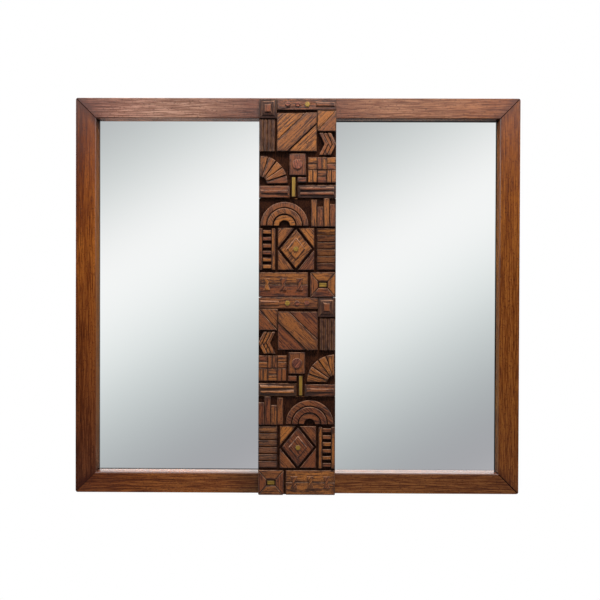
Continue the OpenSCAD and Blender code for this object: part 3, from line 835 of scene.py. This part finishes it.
easedLook = {
    "bevel": 1.3 * mm,
    "glazeReach": 6 * mm,  # how far the dark edge glaze may run in from an arris
    "glazeShares": (0.8, 0.5),  # of the room that a convex and a hollow face have for it
    "leastFace": 40 * mm * mm,  # a smaller face has none
    "leastReach": 1.3,  # in bevels
    "mostReach": 0.8,  # share of the inset that would use up a face's shortest side
    "apart": 30,  # metres at most by which a board's grain is moved
    "unlevel": 0.35 * mm,  # how much a board's face may lean
    "clear": 4.6 * mm,  # how far from a corner an arc has no facets
    "back": 0.1 * mm,  # edges this near the back stay sharp
}


def isConvex(face):
    spots = [loop.vert.co for loop in face.loops]
    sides = [b - a for a, b in zip(spots, spots[1:] + spots[:1])]
    return all(a.cross(b).dot(face.normal) > -1e-9 for a, b in zip(sides, sides[1:] + sides[:1]))


def mostInset(face):
    # How far a face can be inset before its shortest side is gone. A corner moves by
    # (n1 + n2) / (1 + n1 . n2), where n1 and n2 point inwards from the sides that meet there.
    spots = np.array([vert.co for vert in face.verts])
    sides = np.roll(spots, -1, 0) - spots
    length = np.linalg.norm(sides, axis=1)
    inward = np.cross(np.array(face.normal), sides) / length[:, None]
    before = np.roll(inward, 1, 0)
    shift = (inward + before) / (1 + (inward * before).sum(1))[:, None]
    growth = ((np.roll(shift, -1, 0) - shift) * sides).sum(1) / length
    return (length / np.maximum(-growth, 1e-3)).min()


def clearCorners(bm):
    # Joins the first facets of an arc next to a corner, because they are shorter than the inset
    # is wide and its edges would cross
    spots = {}
    for edge in bm.edges:
        low, high = edge.verts[0].co, edge.verts[1].co
        if len(edge.link_faces) == 2 and (high - low).xz.length < 1e-6:
            spots[edge] = (low.xz, edge.calc_face_angle())
    corners = [place for place, angle in spots.values() if angle > math.radians(60)]
    near = [edge for edge, (place, angle) in spots.items() if angle < math.radians(30)
            and any((place - corner).length < easedLook["clear"] for corner in corners)]
    bmesh.ops.dissolve_edges(bm, edges=near, use_verts=True)


def sinkGlazeLoops(bm, bevel):
    # Insets the larger front faces. The attribute is 1 inside, where the glaze has run out.
    look = easedLook
    edgeDarkening = bm.verts.layers.float.new("edge")
    fronts = [f for f in bm.faces if f.normal.y < -0.5 and f.calc_area() > look["leastFace"]]
    for face in fronts:
        reach = face.calc_area() / sum(e.calc_length() for e in face.edges)
        reach *= look["glazeShares"][0 if isConvex(face) else 1]
        reach = min(look["glazeReach"], reach, look["mostReach"] * mostInset(face))
        if reach > look["leastReach"] * bevel:
            bmesh.ops.inset_individual(bm, faces=[face], thickness=reach, use_even_offset=True)
            for vert in face.verts:
                vert[edgeDarkening] = 1


def roundArrises(bm, bevel):
    # bevels the convex edges, apart from those at the back, and cuts up the faces left hollow
    deepest = max(v.co.y for v in bm.verts)
    edges = [e for e in bm.edges if len(e.link_faces) == 2 and e.is_convex
             and e.calc_face_angle() > math.radians(30)
             and min(v.co.y for v in e.verts) < deepest - easedLook["back"]]
    bmesh.ops.bevel(bm, geom=edges, offset=bevel, segments=2, profile=0.6, affect="EDGES",
                    clamp_overlap=True)
    hollow = [f for f in bm.faces if len(f.verts) > 4 and not isConvex(f)]
    bmesh.ops.triangulate(bm, faces=hollow)


def grainDirections(points, edges, island, grainAxis):
    # each board's grain runs along its longest edge, seen from the front, or along a given axis
    along = np.tile([1.0, 0.0, 0.0], (island.max() + 1, 1))
    if grainAxis:
        along[:] = grainAxis
        return along
    run = points[edges[:, 1]] - points[edges[:, 0]]
    order = np.argsort(np.linalg.norm(run[:, [0, 2]], axis=1))
    along[island[edges[order, 0]]] = run[order] * [1, 0, 1]  # the longest is written last
    return along / np.linalg.norm(along, axis=1, keepdims=True)


def easedPiece(node, finish, bevel=easedLook["bevel"], grainAxis=None):
    # A copy of the CAD's shape with rounded arrises. Each loose part leans a little and has its
    # own attributes: grain is metres along, across and through it from a start of its own, and
    # cell is -1 to 1 along and across it, with chance as its third number.
    bm = mergedCopy(node)
    clearCorners(bm)
    sinkGlazeLoops(bm, bevel)
    roundArrises(bm, bevel)
    mesh = bpy.data.meshes.new(spoken(node))
    bm.to_mesh(mesh)
    bm.free()
    points, edges, island = meshArrays(mesh)
    low, high = boxesOf(points, island).transpose(1, 0, 2)
    along = grainDirections(points, edges, island, grainAxis)
    count = len(along)
    over = np.stack([-along[:, 2], np.zeros(count), along[:, 0]], 1)
    away = points - ((low + high) / 2)[island]
    local = np.stack([(away * along[island]).sum(1), (away * over[island]).sum(1), away[:, 1]], 1)
    reach = np.full((count, 3), 1e-4)
    np.maximum.at(reach, island, np.abs(local))
    chance = dice.uniform(-1, 1, (count, 6))
    cell = local / reach[island]
    lean = (cell[:, :2] * chance[island, 3:5]).sum(1) / 4 + 0.5
    cell[:, 2] = chance[island, 5]
    proud = (high[island, 1] - points[:, 1]) / (high - low)[island, 1]
    points[:, 1] += lean * easedLook["unlevel"] * proud
    mesh.vertices.foreach_set("co", points.ravel())
    start = chance[island, :3] * easedLook["apart"]
    writeAttributes(mesh, {"grain": local + start, "cell": cell})
    finishPiece(node, mesh, finish, 50)


for node in sorted(frame["nodes"]):
    if node.endswith("_ground"):
        easedPiece(node, "ground")
    elif node.startswith("tile") and node != "tile_screws":
        easedPiece(node, "relief")
easedPiece("relief_bosses", "red")
easedPiece("gilt_pieces", "gilt", 0.8 * mm)
easedPiece("centre_stile", "ground", grainAxis=(0, 0, 1))
easedPiece("centre_batten", "raw", 0.8 * mm, (0, 0, 1))
print("relief and centre pieces made")


# Screws, rings, straps and bumpers

def revolved(places, radii, heights, sides):
    # Turns a section round Y at each place: x, z = radius times the cosine and sine of the angle
    angle = np.linspace(0, 2 * math.pi, sides, endpoint=False)
    radii, heights = np.array(radii)[:, None], np.array(heights)[:, None]
    ring = np.stack([radii * np.cos(angle), heights + 0 * angle, radii * np.sin(angle)], -1)
    first = np.arange(len(places))[:, None, None] * len(radii) * sides
    faces = (np.array(gridFaces(len(radii), sides)) + first).reshape(-1, 4).tolist()
    return ring[None] + np.array(places)[:, None, None, :], faces


headLook = {  # all as shares of the head's radius, apart from steep
    "barHalf": 0.17, "barSoft": 0.06, "barEnd": 0.62, "endSoft": 0.12, "sunk": 0.4,
    "domeEnd": 0.96, "brim": 0.05, "under": 0.1,
    "steep": 0.85,  # how steep the dome is at its brim, up to 1 for upright
}
screwLooks = {  # how high the dome is, how thick head and shank are, and how wide the cone starts
    "backing_screws": {"dome": 0.45, "head": 0.5, "shank": 0.5, "cone": 1.9},
    "hanger_screws": {"dome": 0.4, "head": 0.44, "shank": 0.55, "cone": 1.7},
    "batten_screws": {"dome": 0.01, "head": 0.55, "shank": 0.5, "cone": 1.0},
}


def screws(node, look, sides=32):
    # A head that is domed or flat with a cross sunk into it, then the cone, shank and point. The
    # cross is two crossed bars, each the product of two soft steps.
    boxes = solidBoxes(node)
    radius = (boxes[:, 1, 0] - boxes[:, 0, 0]).mean() / 2
    length = (boxes[:, 1, 1] - boxes[:, 0, 1]).mean()
    places = (boxes[:, 0] + boxes[:, 1]) / 2
    places[:, 1] = boxes[:, 1, 1]
    share = np.linspace(0, 1, 11)
    top = look["dome"] * radius * (np.sqrt(1 - headLook["steep"] * share ** 2) - 1)
    head, shank = look["head"] * radius, look["shank"] * radius
    radii = np.concatenate([
        share * radius * headLook["domeEnd"], [radius, shank * look["cone"], shank, shank, 0]])
    heights = np.concatenate([top, [
        top[-1] - headLook["brim"] * radius, -head, -head - headLook["under"] * radius,
        -length + 2 * shank, -length]])
    points, faces = revolved(places, radii, heights, sides)
    turn = dice.uniform(0, math.pi, len(places))[:, None, None]
    flat = points - places[:, None, None, :]
    u = (flat[..., 0] * np.cos(turn) + flat[..., 2] * np.sin(turn)) / radius
    v = (flat[..., 2] * np.cos(turn) - flat[..., 0] * np.sin(turn)) / radius

    def bar(a, b):
        beside = np.clip((headLook["barHalf"] - abs(a)) / headLook["barSoft"], 0, 1)
        return beside * np.clip((headLook["barEnd"] - abs(b)) / headLook["endSoft"], 0, 1)

    sunk = np.maximum(bar(u, v), bar(v, u)) * headLook["sunk"] * radius
    sunk[:, len(share):] = 0
    points[..., 1] -= sunk
    newPiece(node, points, faces, "screw")


for node, look in screwLooks.items():
    screws(node, look)


ringLook = {
    "bend": 1.8,  # the small bends' radius, in radii of the wire
    "sides": 20,  # of the wire
}


def hangerRing(node):
    # A round wire carried along a closed D: bar, small bend, leg, half circle, leg, small bend
    low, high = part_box(node)
    wire = (high.y - low.y) / 2
    half = (high.x - low.x) / 2 - wire
    bend = ringLook["bend"] * wire
    top, foot = high.z - wire, low.z + wire
    turn = np.linspace(0, math.pi / 2, 9)
    arc = np.linspace(0, math.pi, 37)
    x = np.concatenate([half - bend + bend * np.sin(turn), half * np.cos(arc),
                        bend - half - bend * np.sin(turn[::-1])])
    z = np.concatenate([top - bend + bend * np.cos(turn), foot + half - half * np.sin(arc),
                        top - bend + bend * np.cos(turn[::-1])])
    run = np.stack([np.roll(x, -1) - np.roll(x, 1), np.roll(z, -1) - np.roll(z, 1)], 1)
    run /= np.linalg.norm(run, axis=1, keepdims=True)
    about = np.linspace(0, 2 * math.pi, ringLook["sides"], endpoint=False)
    out = wire * np.cos(about)
    points = np.stack([
        (low.x + high.x) / 2 + x[:, None] + run[:, 1, None] * out,
        (low.y + high.y) / 2 + 0 * x[:, None] + wire * np.sin(about),
        z[:, None] - run[:, 0, None] * out], -1)
    faces = gridFaces(len(x), len(about), closedRows=True)
    newPiece(node, points, faces, "hanger")


bumperLook = {
    "chamfer": 0.2 * mm,
    "rim": 0.2,  # its rounding, as a share of the height
    "flat": 0.7, "dip": 0.62,  # shares of the radius at which the face ends and is hollow
    "hollow": (0.4 * mm, 0.5 * mm),
}


def bumpers(sides=48):
    # A turned rubber foot: flat on the frame, straight side, rounded rim, slightly hollow face
    look = bumperLook
    boxes = solidBoxes("wall_bumpers")
    radius = (boxes[0, 1, 0] - boxes[0, 0, 0]) / 2
    tall = boxes[0, 1, 1] - boxes[0, 0, 1]
    places = (boxes[:, 0] + boxes[:, 1]) / 2
    places[:, 1] = boxes[:, 0, 1]
    turn = np.linspace(0, math.pi / 2, 7)
    rim, foot = look["rim"] * tall, [0, radius - look["chamfer"], radius]
    radii = np.concatenate([foot, radius - rim + rim * np.cos(turn),
                            [radius * look["flat"], radius * look["dip"], 0]])
    heights = np.concatenate([[0, 0, look["chamfer"]], tall - rim + rim * np.sin(turn),
                              [tall, tall - look["hollow"][0], tall - look["hollow"][1]]])
    points, faces = revolved(places, radii, heights, sides)
    newPiece("wall_bumpers", points, faces, "rubber")


for side in ("left", "right"):
    hangerRing(side + "_hanger_ring")
    easedPiece(side + "_hanger_strap", "hanger", 0.25 * mm)
bumpers()
print("fixings made")


# CAD nodes that keep their mesh

def keep(finish, *nodes):
    for node in nodes:
        for slot in frame["nodes"][node].material_slots:
            slot.material = finishes[finish]


keep("mirror", "left_mirror_pane", "right_mirror_pane")
keep("board", "left_backing_board", "right_backing_board")
keep("felt", "left_felt_tape", "right_felt_tape")
keep("raw", "left_glass_blocks", "right_glass_blocks", "corner_dowels", "stile_dowels")
keep("screw", "tile_screws")


# Floor, light and camera

floorLook = {
    "height": -1.75, "colour": rgb(226, 226, 224),
    "rings": [0.02, 0.5, 1, 1.5, 2, 3, 4.4],
    "near": 0.9, "far": 2.0,  # how far from the origin it turns into background
    "toSatin": 0.3,  # how bright the far floor is to satin surfaces
}


def makeFloor():
    # A disc on a polar grid. Its far part is as white as the background to the camera and to
    # gloss, and clear to a sharp mirror, which so shows the room behind it without an edge.
    look = floorLook
    angle = np.linspace(0, 2 * math.pi, 96, endpoint=False)
    radius = np.array(look["rings"])[:, None]
    points = np.stack([radius * np.cos(angle), radius * np.sin(angle),
                       look["height"] + 0 * radius * angle], -1).reshape(-1, 3)
    faces = [face[::-1] for face in gridFaces(len(radius), len(angle))] + [list(range(len(angle)))]
    mesh = bpy.data.meshes.new("floor")
    mesh.from_pydata(points.tolist(), [], faces)
    material, tree, shader = newMaterial("paleFloor", {
        "Base Color": look["colour"], "Roughness": 0.7})
    away = field(tree, "VectorMath", {0: objectPlace(tree), 1: (0, 0, look["height"])}, "Value",
                 operation="DISTANCE")
    far = remap(away, look["near"], look["far"], smooth=True)
    path = fields(add(tree, "LightPath"))
    glossy, singular = path["Is Glossy Ray"], path["Is Singular Ray"]
    seen = calc("MAXIMUM", glossy, path["Is Transmission Ray"])
    seen = calc("MAXIMUM", path["Is Camera Ray"], seen)
    strength = remap(glossy - singular, 0, 1, 1, look["toSatin"])
    white = field(tree, "Emission", {"Color": (1, 1, 1, 1), "Strength": strength})
    clear = field(tree, "BsdfTransparent")
    pale = field(tree, "MixShader", {0: glossy * singular, 1: white, 2: clear})
    mixed = field(tree, "MixShader", {0: far * seen, 1: Field(shader.outputs[0]), 2: pale})
    under = field(tree, "NewGeometry", output="Backfacing")
    mixed = field(tree, "MixShader", {0: under, 1: mixed, 2: clear})
    feed(tree.nodes["Material Output"], {"Surface": mixed})
    mesh.materials.append(material)
    newObject("floor", mesh)


roomLook = {
    "ambient": 0.18,
    # what satin surfaces see beside, ahead, below, above and behind
    "side": 0.05, "ahead": 0.25, "below": 0.35, "above": 4.2, "behind": 0.55,
    # slopes x / -y or z / -y at which these begin and end
    "aheadFrom": (0.12, 0.17), "belowFrom": (-0.17, -0.22), "aboveFrom": (0.1754, 0.1854),
    "behindFrom": (-0.05, 0.2),
    # the shading in the mirrors: degrees from level at which it runs, its length as a slope, and
    # the slopes at which it starts, to the left and to the right of the split
    "slant": 60, "span": 0.3934, "startLeft": -0.2144, "startRight": 0.0251, "startAbove": 0.1712,
    "split": -0.0112,
    "shades": [(-0.9, rgb(236, 238, 238)), (-0.1, rgb(182, 184, 186)), (0.13, rgb(209, 213, 213)),
               (0.35, rgb(246, 247, 247)), (0.58, rgb(222, 227, 227)), (0.78, rgb(180, 185, 187)),
               (1.0, rgb(175, 175, 179)), (1.9, rgb(230, 232, 232))],
}


def makeRoom():
    # Camera rays see white and diffuse light is even. A sharp mirror shows a slanted soft shading
    # of the room, once for each pane, by the slopes of the ray: x / -y and z / -y. Satin wood and
    # metal see a dim studio with a soft box above.
    look = roomLook
    world = bpy.data.worlds.new("studio")
    bpy.context.scene.world = world
    world.use_nodes = True
    tree = world.node_tree
    tree.nodes.clear()
    ray = split(field(tree, "TexCoord", output="Generated"))
    ahead = calc("MAXIMUM", ray[1] * -1, 0.05)
    slopeX, slopeZ = ray[0] / ahead, ray[2] / ahead
    onRight = calc("GREATER_THAN", slopeX, look["split"])
    start = remap(onRight, 0, 1, look["startLeft"], look["startRight"])
    slant = math.radians(look["slant"])
    along = (slopeX - start) * math.cos(slant) + (look["startAbove"] - slopeZ) * math.sin(slant)
    first, last = look["shades"][0][0], look["shades"][-1][0]
    stops = [((place - first) / (last - first), colour) for place, colour in look["shades"]]
    sharp = ramp(remap(along / look["span"], first, last), stops, "CARDINAL")
    satin = remap(abs(slopeX), *look["aheadFrom"], look["ahead"], look["side"])
    below = remap(slopeZ, *look["belowFrom"])
    satin = satin * (1 - below) + below * look["below"]
    above = remap(slopeZ, *look["aboveFrom"], 0, look["above"])
    behind = remap(ray[1], *look["behindFrom"], 0, look["behind"])
    satin = calc("MAXIMUM", calc("MAXIMUM", satin, above), behind)
    path = fields(add(tree, "LightPath"))
    direct = calc("LESS_THAN", path["Ray Depth"], 2.5)
    gloss = calc("MAXIMUM", path["Is Glossy Ray"], path["Is Transmission Ray"])
    colour = mixColour(gloss, (look["ambient"],) * 3 + (1,), satin)
    colour = mixColour(path["Is Singular Ray"] * direct, colour, sharp)
    colour = mixColour(path["Is Camera Ray"], colour, (1, 1, 1, 1))
    background = field(tree, "Background", {"Color": colour, "Strength": 1})
    add(tree, "OutputWorld", {"Surface": background})


# the key lamp is high in front, the fill is behind and only lights the back
lampLooks = {
    "keyLamp": {"place": (0.45, -1.8, 2.2), "aim": (0, -0.05, -0.25), "size": (1.4, 0.42),
                "power": 129},
    "backFill": {"place": (-0.7, 2.3, 0.9), "aim": (0, 0, -0.3), "size": (1.8, 1.2), "power": 34},
}


def makeLamp(name, look):
    data = bpy.data.lights.new(name, "AREA")
    data.shape = "RECTANGLE"
    data.size, data.size_y = look["size"]
    data.energy = look["power"]
    lamp = newObject(name, data)
    lamp.location = look["place"]
    aim = Vector(look["aim"]) - Vector(look["place"])
    lamp.rotation_euler = aim.to_track_quat("-Z", "Y").to_euler()
    lamp.visible_glossy = False


viewLook = {"place": (0.029, -2.659, -0.2552), "lens": 58.862, "yaw": 0.4715, "pitch": -0.6637,
            "roll": -0.2001}


def makeCamera():
    look = viewLook
    data = bpy.data.cameras.new("camera")
    data.lens = look["lens"]
    camera = newObject("camera", data)
    turn = (Matrix.Rotation(math.radians(look["yaw"]), 4, "Z")
            @ Matrix.Rotation(math.radians(look["pitch"]), 4, "X")
            @ Matrix.Rotation(math.radians(look["roll"]), 4, "Y")
            @ Matrix.Rotation(math.radians(90), 4, "X"))
    camera.matrix_world = Matrix.Translation(look["place"]) @ turn
    bpy.context.scene.camera = camera


makeFloor()
makeRoom()
for name, look in lampLooks.items():
    makeLamp(name, look)
makeCamera()
bpy.context.scene.view_settings.view_transform = "Standard"
print("floor, room, lamps and camera made")
